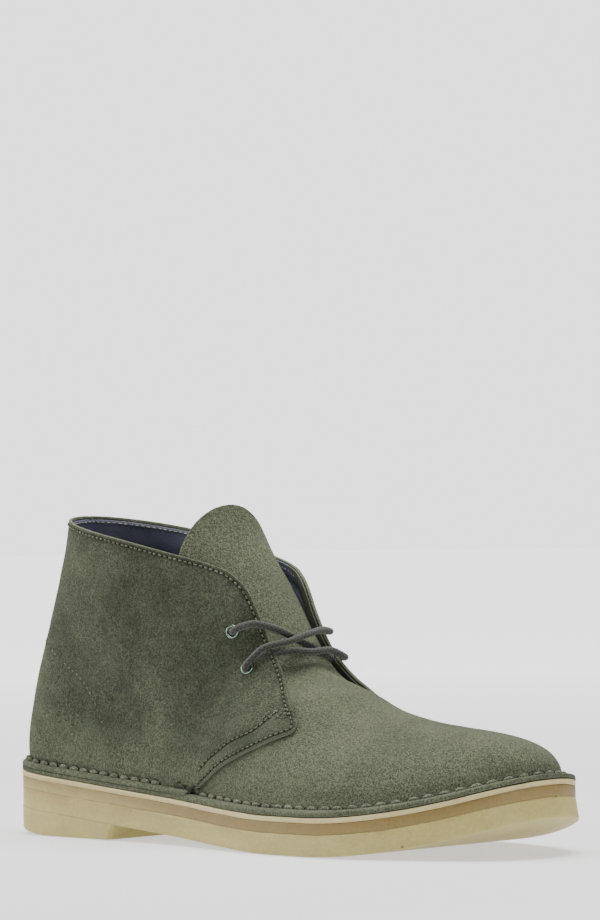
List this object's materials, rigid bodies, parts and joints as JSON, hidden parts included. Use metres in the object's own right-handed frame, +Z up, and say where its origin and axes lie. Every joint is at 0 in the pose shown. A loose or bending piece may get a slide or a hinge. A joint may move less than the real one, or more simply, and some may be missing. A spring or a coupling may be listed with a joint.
{
  "type": "chukka boot",
  "caption": "Ankle-high suede chukka boot, right foot: open laced front with eyelets and tongue, turned-out stitched edge, layered crepe sole with low heel.",
  "frame": {"origin": "on the floor under the middle of the heel, in the middle of the heel's flat bottom", "axes": "+X points to the toe, +Y to the inner (big toe) side of this right boot, +Z up"},
  "size_m": [0.3011, 0.1075, 0.1462],
  "materials": {
    "suede": "napped olive grey suede, uneven shading, raw cut edges",
    "lining": "smooth matte dark navy lining leather",
    "cream_rubber": "thin cream midsole sheet",
    "tan_crepe": "tan natural crepe with fine dark specks",
    "pale_crepe": "pale natural crepe with fine dark specks, slightly translucent",
    "eyelet_enamel": "small dark green enamelled eyelets",
    "lace_cord": "round woven cotton cord, dark olive"
  },
  "bodies": {
    "root": {"upper": "suede", "tongue": "suede", "insole": "lining", "midsole": "cream_rubber", "crepe_middle": "tan_crepe", "outsole": "pale_crepe", "heel": "pale_crepe", "eyelet_outer_upper": "eyelet_enamel", "eyelet_inner_upper": "eyelet_enamel", "eyelet_outer_lower": "eyelet_enamel", "eyelet_inner_lower": "eyelet_enamel", "lace": "lace_cord"}
  },
  "joints": []
}
